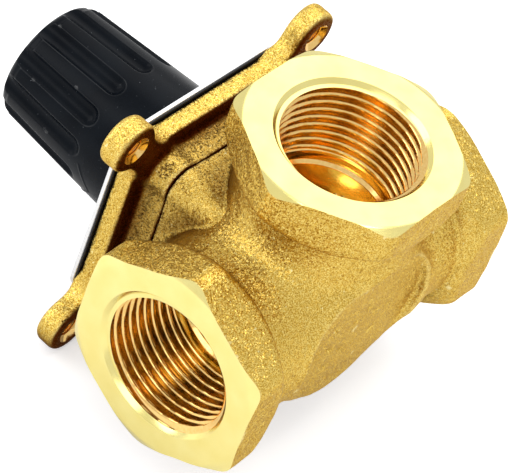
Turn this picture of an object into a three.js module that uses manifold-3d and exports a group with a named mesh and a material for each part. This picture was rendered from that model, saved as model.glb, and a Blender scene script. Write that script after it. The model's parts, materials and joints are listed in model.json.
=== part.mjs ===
// Three way rotary mixing valve, one inch female ports, with a hand knob.
//
// The valve is built standing on its foot: the stem axis is +Z, the three port
// axes cross it at the origin, the run ports lie along +X and -X and the branch
// port along +Y. The finished group is then laid on its side, so that the branch
// port points up and the knob points towards -Y, and its origin is moved to the
// middle of the body's flat foot. Millimetres throughout.

import * as THREE from 'three';
import { mergeVertices } from 'three/addons/utils/BufferGeometryUtils.js';
import Module from 'manifold-3d';

const wasm = await Module();
wasm.setup();

// ---------------------------------------------------------------- dimensions

// Ports: hexagon collars with one inch parallel pipe thread (outside diameter
// 33.25, core diameter 30.29), drawn as a plain bore at the mean diameter.
const PORT_REACH = 43;
const HEX_ACROSS_FLATS = 45.6;
const HEX_LENGTH = 12.4;
const HEX_CORNER_RADIUS = 25.4;
const HEX_CHAMFER = 1.2;
const COLLAR_SHOULDER = 3.5;
const NECK_RADIUS = 20.4;
const THREAD_RADIUS = 15.9;
const THREAD_DEPTH = 20;
const MOUTH_RADIUS = 17;
const MOUTH_DEPTH = 1.1;
const WATERWAY_RADIUS = 13;

// Valve body
const BARREL_RADIUS = 20;
const BARREL_FLOOR = -18.5;
const BARREL_EDGE = 2;
const CHAMBER_RADIUS = 17;
const CHAMBER_FLOOR = -15.5;
const FOOT_SOCKET_RADIUS = 4.2;
const FOOT_SOCKET_FLOOR = -17;
const SEAM = 24.6;
const SEAM_GAP = 0.2;

// Lobed joint flange, the same on the body and on the bonnet
const FLANGE_HALF = 20.2;
const FLANGE_FOOT = 11.5;
const SCREW_OFFSET = 16.4;
const LOBE_RADIUS = 4.8;
const SCREW_RADIUS = 1.9;
const SCREW_HEAD_RADIUS = 3.5;
const SCREW_TIP = 15.2;
const SCREW_SEAT = 30.2;

// Bonnet: spigot, top plate with four ears, stem tower
const PLATE_HALF = 25;
const PLATE_UNDERSIDE = 30.9;
const PLATE_TOP = 35.7;
const EAR_OFFSET = 29.2;
const EAR_RADIUS = 6;
const EAR_ARM_HALF = 4.6;
const EAR_UNDERSIDE = 30.3;
const EAR_HOLE_RADIUS = 2.5;
const EAR_HOLE_CHAMFER = 0.6;
const EAR_HOLE_MOUTH = 4.1;
const SPIGOT_RADIUS = 16.7;
const SPIGOT_END = 19.5;
const SPIGOT_GROOVE = { root: 14.4, bottom: 20.8, top: 23.6 };
const BONNET_RING = { radius: 15.7, cord: 1.05, height: 22.2 };
const TOWER_RADIUS = 9;
const TOWER_TOP = 46.4;
const TOWER_EDGE = 0.8;

// Scale plate and its backing sheet
const SCALE_HALF = 25.4;
const SCALE_CORNER = 6;
const SHEET_GAP = 0.05;
const SHEET_BOTTOM = PLATE_TOP + SHEET_GAP;
const SHEET_THICKNESS = 0.45;
const SCALE_BOTTOM = SHEET_BOTTOM + SHEET_THICKNESS + SHEET_GAP;
const SCALE_THICKNESS = 1;
const SCALE_HOLE_RADIUS = 9.5;

// Stem and rotor
const STEM_RADIUS = 5;
const STEM_BORE = 5.3;
const STEM_FOOT = 10.4;
const STEM_TOP = 64;
const STEM_FLATS = 7;
const FLATS_FOOT = 48.6;
const SEAL_HEIGHTS = [28.5, 33];
const SEAL_GROOVE_RADIUS = 3.4;
const SEAL_GROOVE_WIDTH = 2.2;
const STEM_RING = { radius: 4.4, cord: 0.8 };
const STEM_EDGE = 0.6;
const BUSH = { radius: 7, bottom: 19.8, top: 25.9 };
const WASHER_RADIUS = 12;
const CLIP_GROOVE = { radius: 4.2, bottom: TOWER_TOP + 0.2, width: 1.2 };
const CLIP = { inner: 4.4, outer: 6.8, thickness: 0.8, mouth: 60, eyeOrbit: 7, eyeRadius: 1.5, eyeHole: 0.6 };
const ROTOR_RADIUS = 16.7;
const ROTOR_WALL = 4;
const ROTOR_HUB_RADIUS = 8;
const ROTOR_DISC_BOTTOM = -13.9;
const ROTOR_DISC_TOP = 18;
const ROTOR_LOWER_DISC = 1.5;
const ROTOR_UPPER_DISC = 3;
const SHUTTER_ANGLE = 104;
const DRIVE_PIN_HEIGHT = 13;
const DRIVE_PIN_RADIUS = 1.2;
const DRIVE_PIN_HALF = 7.6;

// The spindle is made with its pointer along +X. There the shutter stands
// SHUTTER_CENTRE degrees round, between the branch port and the left port;
// at rest the whole spindle is turned to REST_ANGLE.
const SHUTTER_CENTRE = 135;
const REST_ANGLE = -24;

// Travel stop
const STOP_ORBIT = 12.8;
const STOP_PIN_RADIUS = 1;
const STOP_PIN_TOP = 41;
const STOP_PIN_FOOT = 31.7;
const TRAVEL = 90;

// Knob
const KNOB_BASE = 38.1;
const KNOB_TOP = 75.6;
const KNOB_BASE_RADIUS = 17.4;
const KNOB_TOP_RADIUS = 14.8;
const KNOB_RIM = 2.6;
const KNOB_WALL = 2.6;
const KNOB_WEB = 66.4;
const FLUTES = 12;
const FLUTE_RADIUS = 3;
const FLUTE_DEPTH = 1.4;
const FLUTE_END = 53.2;
const CAP_RADIUS = 8;
const CAP_THICKNESS = 1.8;
const CAP_EDGE = 0.6;
const POINTER_BAR = { start: -5, end: 7, half: 0.6, height: 0.2 };
const KNOB_SCREW = { headRadius: 3.6, headHeight: 3, tip: 53, seat: 70.1 };
const KNOB_SCREW_WELL = 5;
const ADAPTER = { foot: 39, inner: 9.6, outer: 11.4, collar: 13.9, collarTop: 42, socketFoot: 48.9 };

// Clearance between two pieces that are made to the same size
const GAP = 0.3;

// ----------------------------------------------------------------- materials

const FINISH = {
  forgedBrass: { color: 0xc9a04a, roughness: 0.48, metalness: 0.9 },
  turnedBrass: { color: 0xe6c878, roughness: 0.25, metalness: 1 },
  steel: { color: 0xb9bcc0, roughness: 0.3, metalness: 1 },
  aluminium: { color: 0xe6e8ea, roughness: 0.35, metalness: 0.9 },
  rubber: { color: 0x18181a, roughness: 0.8, metalness: 0 },
  ptfe: { color: 0xeeeee8, roughness: 0.5, metalness: 0 },
  knobPlastic: { color: 0x16191e, roughness: 0.42, metalness: 0 },
  hubPlastic: { color: 0x24262a, roughness: 0.55, metalness: 0 },
  blackSheet: { color: 0x0c0c0e, roughness: 0.7, metalness: 0 },
};

// ------------------------------------------------------------ solid modelling

const radians = THREE.MathUtils.degToRad;

/** A closed geometry as a solid, whichever way its faces were wound; a solid stays as it is. */
function toSolid(geometry) {
  if (!geometry.isBufferGeometry) return geometry;
  const bare = geometry.clone();
  bare.deleteAttribute('normal');
  bare.deleteAttribute('uv');
  const merged = mergeVertices(bare, 1e-4);
  const points = merged.attributes.position;
  const corner = [new THREE.Vector3(), new THREE.Vector3(), new THREE.Vector3()];
  const faces = [];
  let volume = 0;
  for (let i = 0; i < merged.index.count; i += 3) {
    const face = [0, 1, 2].map((k) => merged.index.getX(i + k));
    if (new Set(face).size < 3) continue;
    face.forEach((index, k) => corner[k].fromBufferAttribute(points, index));
    volume += corner[0].dot(corner[1].cross(corner[2]));
    faces.push(face);
  }
  if (volume < 0) faces.forEach((face) => face.reverse());
  return new wasm.Manifold(new wasm.Mesh({
    numProp: 3,
    vertProperties: new Float32Array(points.array),
    triVerts: new Uint32Array(faces.flat()),
  }));
}

function toGeometry(shape) {
  if (shape.isBufferGeometry) return shape;
  const mesh = shape.getMesh();
  const geometry = new THREE.BufferGeometry();
  geometry.setAttribute('position', new THREE.BufferAttribute(mesh.vertProperties, 3));
  geometry.setIndex(new THREE.BufferAttribute(mesh.triVerts, 1));
  const flat = geometry.toNonIndexed();
  flat.computeVertexNormals();
  return flat;
}

const join = (...parts) => parts.map(toSolid).reduce((a, b) => a.add(b));
const cut = (part, ...tools) => tools.map(toSolid).reduce((a, b) => a.subtract(b), toSolid(part));
const common = (a, b) => toSolid(a).intersect(toSolid(b));

/** A solid of revolution about +Z from [radius, height] points that start and end on the axis. */
function turned(profile, segments = 32) {
  const points = profile.map(([radius, height]) => new THREE.Vector2(radius, height));
  return new THREE.LatheGeometry(points, segments).rotateX(Math.PI / 2);
}

/** A plain cylinder about +Z. */
const rod = (radius, bottom, top, segments = 32) =>
  turned([[0, bottom], [radius, bottom], [radius, top], [0, top]], segments);

/** A ring of rectangular section about +Z. */
const ring = (inner, outer, bottom, top, segments = 32) => turned(
  [[inner, bottom], [outer, bottom], [outer, top], [inner, top], [inner, bottom]], segments);

/** An outline in the XY plane, raised from bottom to top. */
const prism = (outline, bottom, top, curveSegments = 8) =>
  new THREE.ExtrudeGeometry(outline, { depth: top - bottom, bevelEnabled: false, curveSegments })
    .translate(0, 0, bottom);

/** A rectangular block between two corners. */
const block = (low, high) => new THREE.BoxGeometry(high[0] - low[0], high[1] - low[1], high[2] - low[2])
  .translate((low[0] + high[0]) / 2, (low[1] + high[1]) / 2, (low[2] + high[2]) / 2);

/** An O-ring about +Z at the given height. */
function oRing(radius, cord, height) {
  const section = [];
  const sides = 6;
  for (let i = 0; i <= sides; i++) {
    const angle = (i % sides) * (2 * Math.PI / sides);
    section.push([radius + cord * Math.cos(angle), height + cord * Math.sin(angle)]);
  }
  return turned(section, 24);
}

/** A closed polygon from [x, y] points. */
const polygon = (points) => new THREE.Shape(points.map(([x, y]) => new THREE.Vector2(x, y)));

/** A circular arc as [x, y] points about a centre, angles in degrees. */
function arc(cx, cy, radius, from, to, steps) {
  return Array.from({ length: steps + 1 }, (_, i) => {
    const angle = radians(from + ((to - from) * i) / steps);
    return [cx + radius * Math.cos(angle), cy + radius * Math.sin(angle)];
  });
}

/** A wedge from the axis outwards, for cutting rings into sectors. */
const wedge = (centre, width, radius, bottom, top) => prism(
  polygon([[0, 0], ...arc(0, 0, radius, centre - width / 2, centre + width / 2, 12)]), bottom, top);

/** The four corners of a square pattern, as signs of x and y. */
const CORNERS = [[1, 1], [-1, 1], [-1, -1], [1, -1]];

// -------------------------------------------------------------------- outlines

function hexagon(acrossFlats) {
  const corner = acrossFlats / Math.sqrt(3);
  return polygon(arc(0, 0, corner, 0, 300, 5));
}

function roundedSquare(half, corner) {
  const inner = half - corner;
  return polygon(CORNERS.flatMap(([x, y], i) =>
    arc(inner * x, inner * y, corner, 90 * i, 90 * i + 90, 6)));
}

/** The joint flange: a square with a screw lobe standing out at each corner. */
function lobedSquare(half, offset, lobe) {
  const flare = THREE.MathUtils.radToDeg(Math.acos((half - offset) / lobe));
  return polygon(CORNERS.flatMap(([x, y], i) =>
    arc(offset * x, offset * y, lobe, 90 * i - flare, 90 * i + 90 + flare, 8)));
}

/** The bonnet's top plate is a square; each ear is an arm with a round end. */
function earOutline(reach) {
  const centre = Math.SQRT2 * EAR_OFFSET;
  const sweep = 130;
  return polygon(
    [[reach, -EAR_ARM_HALF], ...arc(centre, 0, EAR_RADIUS, -sweep, sweep, 14), [reach, EAR_ARM_HALF]]);
}

// ------------------------------------------------------------------ valve body

/** Each turns a geometry made about +Z, pointing up, so that it points along one port. */
const PORTS = [
  (geometry) => geometry.rotateX(Math.PI / 2).rotateZ(Math.PI / 2),
  (geometry) => geometry.rotateX(Math.PI / 2).rotateZ(-Math.PI / 2),
  (geometry) => geometry.rotateX(-Math.PI / 2),
];

/** One port's outside: a round neck and a hexagon collar with turned corners. */
function portCasting(turn) {
  const blank = turned([
    [0, PORT_REACH - HEX_LENGTH], [NECK_RADIUS + 1, PORT_REACH - HEX_LENGTH],
    [HEX_CORNER_RADIUS, PORT_REACH - HEX_LENGTH + COLLAR_SHOULDER],
    [HEX_CORNER_RADIUS, PORT_REACH - HEX_CHAMFER],
    [HEX_CORNER_RADIUS - HEX_CHAMFER, PORT_REACH], [0, PORT_REACH],
  ], 36);
  const hex = prism(hexagon(HEX_ACROSS_FLATS), PORT_REACH - HEX_LENGTH, PORT_REACH);
  const neck = rod(NECK_RADIUS, 1, PORT_REACH - HEX_LENGTH + 1);
  return join(turn(neck), common(turn(blank), turn(hex)));
}

/** One port's inside, as a cutter: countersunk mouth, thread bore and waterway. */
const portBore = (turn) => turn(turned([
  [0, 1], [WATERWAY_RADIUS, 1], [WATERWAY_RADIUS, PORT_REACH - THREAD_DEPTH - 2],
  [THREAD_RADIUS, PORT_REACH - THREAD_DEPTH], [THREAD_RADIUS, PORT_REACH - MOUTH_DEPTH],
  [MOUTH_RADIUS, PORT_REACH], [MOUTH_RADIUS, PORT_REACH + 1], [0, PORT_REACH + 1],
]));

/** The body: its flat foot is let into the underside of the run between the two necks. */
function valveBody() {
  const barrel = turned([
    [0, BARREL_FLOOR], [BARREL_RADIUS - BARREL_EDGE, BARREL_FLOOR],
    [BARREL_RADIUS, BARREL_FLOOR + BARREL_EDGE], [BARREL_RADIUS, SEAM - 1], [0, SEAM - 1],
  ]);
  const flange = prism(lobedSquare(FLANGE_HALF, SCREW_OFFSET, LOBE_RADIUS), FLANGE_FOOT, SEAM);
  const casting = join(barrel, flange, ...PORTS.map(portCasting));
  const chamber = rod(CHAMBER_RADIUS, CHAMBER_FLOOR, SEAM + 1);
  const socket = rod(FOOT_SOCKET_RADIUS, FOOT_SOCKET_FLOOR, CHAMBER_FLOOR + 1, 24);
  const footRecess = rod(BARREL_RADIUS, BARREL_FLOOR - NECK_RADIUS, BARREL_FLOOR);
  const screwHoles = CORNERS.map(([x, y]) =>
    rod(SCREW_RADIUS + GAP, SCREW_TIP - 1, SEAM + 1, 12).translate(x * SCREW_OFFSET, y * SCREW_OFFSET, 0));
  return cut(casting, chamber, socket, footRecess, ...screwHoles, ...PORTS.map(portBore));
}

// ----------------------------------------------------------------------- bonnet

function bonnet() {
  const flange = prism(lobedSquare(FLANGE_HALF, SCREW_OFFSET, LOBE_RADIUS), SEAM + SEAM_GAP, PLATE_TOP - 1);
  const plate = prism(roundedSquare(PLATE_HALF, 2), PLATE_UNDERSIDE, PLATE_TOP);
  const ears = CORNERS.map((_, i) =>
    prism(earOutline(PLATE_HALF), EAR_UNDERSIDE, PLATE_TOP).rotateZ(radians(45 + 90 * i)));
  const column = turned([
    [0, SPIGOT_END], [SPIGOT_RADIUS, SPIGOT_END], [SPIGOT_RADIUS, SPIGOT_GROOVE.bottom],
    [SPIGOT_GROOVE.root, SPIGOT_GROOVE.bottom], [SPIGOT_GROOVE.root, SPIGOT_GROOVE.top],
    [SPIGOT_RADIUS, SPIGOT_GROOVE.top], [SPIGOT_RADIUS, PLATE_TOP - 1], [TOWER_RADIUS, PLATE_TOP - 1],
    [TOWER_RADIUS, TOWER_TOP - TOWER_EDGE], [TOWER_RADIUS - TOWER_EDGE, TOWER_TOP], [0, TOWER_TOP],
  ]);
  const stemBore = turned([
    [0, SPIGOT_END - 1], [BUSH.radius + GAP, SPIGOT_END - 1], [BUSH.radius + GAP, BUSH.top + GAP],
    [STEM_BORE, BUSH.top + GAP], [STEM_BORE, TOWER_TOP + 1], [0, TOWER_TOP + 1],
  ], 20);
  const pattern = (geometry, offset) => CORNERS.map(([x, y]) =>
    geometry.clone().translate(x * offset, y * offset, 0));
  const screwHole = turned([
    [0, SEAM - 1], [SCREW_RADIUS + GAP, SEAM - 1], [SCREW_RADIUS + GAP, SCREW_SEAT],
    [SCREW_HEAD_RADIUS + GAP, SCREW_SEAT], [SCREW_HEAD_RADIUS + GAP, PLATE_TOP + 1], [0, PLATE_TOP + 1],
  ], 12);
  const earHole = turned([
    [0, EAR_UNDERSIDE - 1], [EAR_HOLE_MOUTH, EAR_UNDERSIDE - 1],
    [EAR_HOLE_RADIUS, EAR_UNDERSIDE + EAR_HOLE_CHAMFER], [EAR_HOLE_RADIUS, PLATE_TOP - EAR_HOLE_CHAMFER],
    [EAR_HOLE_MOUTH, PLATE_TOP + 1], [0, PLATE_TOP + 1],
  ], 14);
  const stopHole = rod(STOP_PIN_RADIUS + GAP, STOP_PIN_FOOT - GAP, PLATE_TOP + 1, 10)
    .translate(0, -STOP_ORBIT, 0);
  return cut(join(flange, plate, column, ...ears),
    stemBore, stopHole, ...pattern(screwHole, SCREW_OFFSET), ...pattern(earHole, EAR_OFFSET));
}

/** A cap screw standing on its tip, with a hexagon socket in its head. */
function capScrew({ radius, headRadius, headHeight, tip, seat }) {
  const edge = 0.4;
  const shape = turned([
    [0, tip], [radius - edge, tip], [radius, tip + edge], [radius, seat], [headRadius, seat],
    [headRadius, seat + headHeight - edge], [headRadius - edge, seat + headHeight], [0, seat + headHeight],
  ], 12);
  return cut(shape, prism(hexagon(headRadius), seat + headHeight / 2, seat + headHeight + 1));
}

function scaleSheet(bottom, thickness) {
  const blank = prism(roundedSquare(SCALE_HALF, SCALE_CORNER), bottom, bottom + thickness);
  const centre = rod(SCALE_HOLE_RADIUS, bottom - 1, bottom + thickness + 1);
  const stopHole = rod(STOP_PIN_RADIUS + GAP, bottom - 1, bottom + thickness + 1, 10);
  return cut(blank, centre, stopHole.translate(0, -STOP_ORBIT, 0));
}

// --------------------------------------------------------------- rotor and stem

function rotor() {
  const overlap = 0.5;
  const shutterFoot = ROTOR_DISC_BOTTOM + overlap;
  const shutter = common(
    ring(ROTOR_RADIUS - ROTOR_WALL, ROTOR_RADIUS - 0.1, shutterFoot, ROTOR_DISC_TOP - 1),
    wedge(SHUTTER_CENTRE, SHUTTER_ANGLE, 2 * ROTOR_RADIUS, shutterFoot - 1, ROTOR_DISC_TOP));
  const hub = rod(ROTOR_HUB_RADIUS, STEM_FOOT - 2, ROTOR_DISC_TOP, 20);
  const discs = [
    rod(ROTOR_RADIUS, ROTOR_DISC_BOTTOM, ROTOR_DISC_BOTTOM + ROTOR_LOWER_DISC),
    rod(ROTOR_RADIUS, ROTOR_DISC_TOP - ROTOR_UPPER_DISC, ROTOR_DISC_TOP),
  ];
  const journal = rod(FOOT_SOCKET_RADIUS - GAP, FOOT_SOCKET_FLOOR + GAP, ROTOR_DISC_BOTTOM + overlap, 24);
  const socket = rod(STEM_RADIUS + GAP, STEM_FOOT - GAP, ROTOR_DISC_TOP + 1, 20);
  const pinHole = drivePin(DRIVE_PIN_RADIUS + GAP, ROTOR_HUB_RADIUS + 1);
  return cut(join(...discs, shutter, hub, journal), socket, pinHole);
}

/** The cross pin that locks the stem to the rotor, lying along X. */
const drivePin = (radius, half) => rod(radius, -half, half, 10).rotateY(Math.PI / 2)
  .translate(0, 0, DRIVE_PIN_HEIGHT);

function stem() {
  const half = SEAL_GROOVE_WIDTH / 2;
  const grooves = SEAL_HEIGHTS.flatMap((z) => [
    [STEM_RADIUS, z - half], [SEAL_GROOVE_RADIUS, z - half],
    [SEAL_GROOVE_RADIUS, z + half], [STEM_RADIUS, z + half],
  ]);
  const clipTop = CLIP_GROOVE.bottom + CLIP_GROOVE.width;
  const bar = turned([
    [0, STEM_FOOT], [STEM_RADIUS, STEM_FOOT], ...grooves,
    [STEM_RADIUS, CLIP_GROOVE.bottom], [CLIP_GROOVE.radius, CLIP_GROOVE.bottom],
    [CLIP_GROOVE.radius, clipTop], [STEM_RADIUS, clipTop],
    [STEM_RADIUS, STEM_TOP - STEM_EDGE], [STEM_RADIUS - STEM_EDGE, STEM_TOP], [0, STEM_TOP],
  ], 20);
  const flat = block([STEM_FLATS / 2, -STEM_RADIUS, FLATS_FOOT], [2 * STEM_RADIUS, STEM_RADIUS, STEM_TOP + 1]);
  const tapping = rod(SCREW_RADIUS + GAP, KNOB_SCREW.tip - 1, STEM_TOP + 1, 12);
  return cut(bar, flat, flat.clone().rotateZ(Math.PI), tapping,
    drivePin(DRIVE_PIN_RADIUS + GAP, STEM_RADIUS + 1));
}

/** A spring clip with an open mouth and an eye at each end. */
function circlip() {
  const bottom = TOWER_TOP + GAP;
  const top = bottom + CLIP.thickness;
  const mouthCentre = 90;
  const open = cut(ring(CLIP.inner, CLIP.outer, bottom, top, 24),
    wedge(mouthCentre, CLIP.mouth, 2 * CLIP.outer, bottom - 1, top + 1));
  const ends = [-1, 1].map((side) => radians(mouthCentre + side * (CLIP.mouth / 2 + 5)));
  const atEnds = (geometry) => ends.map((angle) => geometry.clone()
    .translate(CLIP.eyeOrbit * Math.cos(angle), CLIP.eyeOrbit * Math.sin(angle), 0));
  const eyes = atEnds(rod(CLIP.eyeRadius, bottom, top, 10));
  const holes = atEnds(rod(CLIP.eyeHole, bottom - 1, top + 1, 6));
  return cut(join(open, ...eyes), ...holes);
}

// ------------------------------------------------------------------------- knob

/** The plastic hub on the stem's flats; the gap in its collar runs to and fro past the stop pin. */
function knobAdapter() {
  const top = KNOB_WEB - GAP;
  const body = turned([
    [ADAPTER.inner, ADAPTER.foot], [ADAPTER.outer, ADAPTER.foot], [ADAPTER.outer, top], [0, top],
    [0, ADAPTER.socketFoot], [ADAPTER.inner, ADAPTER.socketFoot], [ADAPTER.inner, ADAPTER.foot],
  ]);
  const pinWidth = THREE.MathUtils.radToDeg((2 * STOP_PIN_RADIUS + GAP) / STOP_ORBIT);
  const collar = cut(ring(ADAPTER.outer - 0.4, ADAPTER.collar, ADAPTER.foot, ADAPTER.collarTop),
    wedge(-90, TRAVEL + pinWidth, 2 * ADAPTER.collar, ADAPTER.foot - 1, ADAPTER.collarTop + 1));
  const halfFlats = STEM_FLATS / 2 + GAP;
  const bore = rod(STEM_RADIUS + GAP, FLATS_FOOT - 1, STEM_TOP + GAP, 20);
  const seat = common(bore,
    block([-halfFlats, -2 * STEM_RADIUS, FLATS_FOOT - 2], [halfFlats, 2 * STEM_RADIUS, STEM_TOP + 1]));
  return cut(join(body, collar), seat, rod(SCREW_RADIUS + GAP, STEM_TOP, KNOB_WEB + 1, 12));
}

/** Outside radius of the knob's taper at a height. */
const knobRadius = (z) => THREE.MathUtils.mapLinear(z, KNOB_BASE, KNOB_TOP, KNOB_BASE_RADIUS, KNOB_TOP_RADIUS);

function knobGrip() {
  const rimCentre = [KNOB_TOP_RADIUS - KNOB_RIM, KNOB_TOP - KNOB_RIM];
  const rimArc = arc(...rimCentre, KNOB_RIM, 0, 90, 4);
  const capSeat = KNOB_TOP - CAP_THICKNESS - GAP;
  const screwSeat = KNOB_SCREW.seat - 0.1;
  const shell = turned([
    [KNOB_BASE_RADIUS - KNOB_WALL, KNOB_BASE], [KNOB_BASE_RADIUS, KNOB_BASE], ...rimArc,
    [CAP_RADIUS + GAP, KNOB_TOP], [CAP_RADIUS + GAP, capSeat],
    [KNOB_SCREW_WELL, capSeat], [KNOB_SCREW_WELL, screwSeat],
    [SCREW_RADIUS + GAP, screwSeat], [SCREW_RADIUS + GAP, KNOB_WEB],
    [knobRadius(KNOB_WEB) - KNOB_WALL, KNOB_WEB], [KNOB_BASE_RADIUS - KNOB_WALL, KNOB_BASE],
  ], 48);
  const tilt = Math.atan2(KNOB_BASE_RADIUS - KNOB_TOP_RADIUS, KNOB_TOP - KNOB_BASE);
  const reach = KNOB_TOP - FLUTE_END + FLUTE_RADIUS;
  const flute = turned([...arc(0, 0, FLUTE_RADIUS, -90, 0, 3), [FLUTE_RADIUS, reach], [0, reach]], 10)
    .rotateY(-tilt)
    .translate(knobRadius(FLUTE_END) + FLUTE_RADIUS - FLUTE_DEPTH, 0, FLUTE_END);
  const flutes = Array.from({ length: FLUTES }, (_, i) => flute.clone().rotateZ((i * 2 * Math.PI) / FLUTES));
  return cut(shell, ...flutes);
}

/** The cap over the knob screw, with a raised pointer bar. */
function knobCap() {
  const bottom = KNOB_TOP - CAP_THICKNESS;
  const face = KNOB_TOP - POINTER_BAR.height;
  const disc = turned([
    [0, bottom], [CAP_RADIUS, bottom], [CAP_RADIUS, face - CAP_EDGE], [CAP_RADIUS - CAP_EDGE, face], [0, face],
  ]);
  const bar = block([POINTER_BAR.start, -POINTER_BAR.half, face - CAP_EDGE],
    [POINTER_BAR.end, POINTER_BAR.half, KNOB_TOP]);
  return join(disc, bar);
}

// --------------------------------------------------------------------- assembly

const valve = new THREE.Group();

function add(parent, name, shape, finish) {
  const mesh = new THREE.Mesh(toGeometry(shape), new THREE.MeshStandardMaterial(FINISH[finish]));
  mesh.name = name;
  parent.add(mesh);
  return mesh;
}

const bonnetScrew = {
  radius: SCREW_RADIUS, headRadius: SCREW_HEAD_RADIUS, headHeight: 4, tip: SCREW_TIP, seat: SCREW_SEAT + 0.1,
};
const bush = ring(STEM_BORE, BUSH.radius, BUSH.bottom, BUSH.top, 20);
const thrustWasher = ring(STEM_BORE, WASHER_RADIUS, ROTOR_DISC_TOP + GAP, SPIGOT_END - GAP, 24);
const footWasher = ring(
  FOOT_SOCKET_RADIUS + GAP, WASHER_RADIUS, CHAMBER_FLOOR + GAP, ROTOR_DISC_BOTTOM - GAP, 24);
const stopPin = rod(STOP_PIN_RADIUS, STOP_PIN_FOOT, STOP_PIN_TOP, 10);
const sealRing = (height) => oRing(STEM_RING.radius, STEM_RING.cord, height);

const housing = new THREE.Group();
add(housing, 'valve_body', valveBody(), 'forgedBrass');
add(housing, 'bonnet', bonnet(), 'forgedBrass');
add(housing, 'bonnet_o_ring', oRing(BONNET_RING.radius, BONNET_RING.cord, BONNET_RING.height), 'rubber');
CORNERS.forEach(([x, y], i) => {
  const screw = add(housing, `bonnet_screw_${i + 1}`, capScrew(bonnetScrew), 'steel');
  screw.position.set(x * SCREW_OFFSET, y * SCREW_OFFSET, 0);
});
add(housing, 'stem_bush', bush, 'ptfe');
add(housing, 'thrust_washer', thrustWasher, 'ptfe');
add(housing, 'foot_washer', footWasher, 'ptfe');
add(housing, 'backing_sheet', scaleSheet(SHEET_BOTTOM, SHEET_THICKNESS), 'blackSheet');
add(housing, 'scale_plate', scaleSheet(SCALE_BOTTOM, SCALE_THICKNESS), 'aluminium');
add(housing, 'stop_pin', stopPin, 'steel').position.y = -STOP_ORBIT;

const spindle = new THREE.Group();
add(spindle, 'rotor', rotor(), 'turnedBrass');
add(spindle, 'drive_pin', drivePin(DRIVE_PIN_RADIUS, DRIVE_PIN_HALF), 'steel');
add(spindle, 'stem', stem(), 'turnedBrass');
add(spindle, 'stem_o_ring_lower', sealRing(SEAL_HEIGHTS[0]), 'rubber');
add(spindle, 'stem_o_ring_upper', sealRing(SEAL_HEIGHTS[1]), 'rubber');
add(spindle, 'circlip', circlip(), 'steel');
add(spindle, 'knob_adapter', knobAdapter(), 'hubPlastic');
add(spindle, 'knob_grip', knobGrip(), 'knobPlastic');
add(spindle, 'knob_screw', capScrew({ radius: SCREW_RADIUS, ...KNOB_SCREW }), 'steel');
add(spindle, 'knob_cap', knobCap(), 'hubPlastic');
spindle.rotation.z = radians(REST_ANGLE);

valve.add(housing, spindle);
valve.rotation.x = Math.PI / 2;
valve.position.y = BARREL_FLOOR;

export default valve;
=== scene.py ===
import json
import math

import bmesh
import bpy
import numpy as np
from mathutils import Matrix, Vector


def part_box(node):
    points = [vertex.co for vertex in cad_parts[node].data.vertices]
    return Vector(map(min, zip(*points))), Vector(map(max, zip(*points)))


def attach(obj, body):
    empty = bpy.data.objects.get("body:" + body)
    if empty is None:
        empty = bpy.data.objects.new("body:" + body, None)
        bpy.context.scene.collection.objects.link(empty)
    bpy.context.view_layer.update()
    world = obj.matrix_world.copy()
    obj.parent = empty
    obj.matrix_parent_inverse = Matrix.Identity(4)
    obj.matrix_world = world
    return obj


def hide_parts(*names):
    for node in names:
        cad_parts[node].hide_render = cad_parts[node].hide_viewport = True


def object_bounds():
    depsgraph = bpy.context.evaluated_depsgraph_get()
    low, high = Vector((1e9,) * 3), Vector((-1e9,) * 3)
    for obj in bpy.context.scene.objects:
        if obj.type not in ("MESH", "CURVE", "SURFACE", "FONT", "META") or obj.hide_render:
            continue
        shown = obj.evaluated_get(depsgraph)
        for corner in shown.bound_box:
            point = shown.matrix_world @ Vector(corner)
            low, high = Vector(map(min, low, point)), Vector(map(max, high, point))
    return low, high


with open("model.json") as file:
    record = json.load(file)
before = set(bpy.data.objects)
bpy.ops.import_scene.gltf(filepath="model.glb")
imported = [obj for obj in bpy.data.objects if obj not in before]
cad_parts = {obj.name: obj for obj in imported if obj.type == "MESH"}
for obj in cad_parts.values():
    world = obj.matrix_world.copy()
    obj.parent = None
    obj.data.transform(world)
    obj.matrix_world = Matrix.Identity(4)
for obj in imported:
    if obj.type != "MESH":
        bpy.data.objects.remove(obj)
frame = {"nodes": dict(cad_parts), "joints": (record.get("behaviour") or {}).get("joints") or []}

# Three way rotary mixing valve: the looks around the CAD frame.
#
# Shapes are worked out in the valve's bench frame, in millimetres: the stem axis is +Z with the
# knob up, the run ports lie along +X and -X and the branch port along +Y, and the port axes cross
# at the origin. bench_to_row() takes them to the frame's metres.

CAD_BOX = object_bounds()
MM = 0.001

# ---------------------------------------------------------------- sizes read from the frame

# The knob's hinge is anchored where the port axes cross
AXIS_POINT = Vector(frame["joints"][0]["pos_m"])


def bench_to_row(points):
    """Bench-frame millimetres to row-frame metres."""
    x, y, z = np.asarray(points, float).T
    return np.column_stack([x * MM, AXIS_POINT.y - z * MM, AXIS_POINT.z + y * MM])


def bench_box(node):
    """A CAD node's lowest and highest corners in the bench frame, in millimetres."""
    low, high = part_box(node)
    return (
        np.array([low.x, low.z - AXIS_POINT.z, AXIS_POINT.y - high.y]) / MM,
        np.array([high.x, high.z - AXIS_POINT.z, AXIS_POINT.y - low.y]) / MM,
    )


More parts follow.
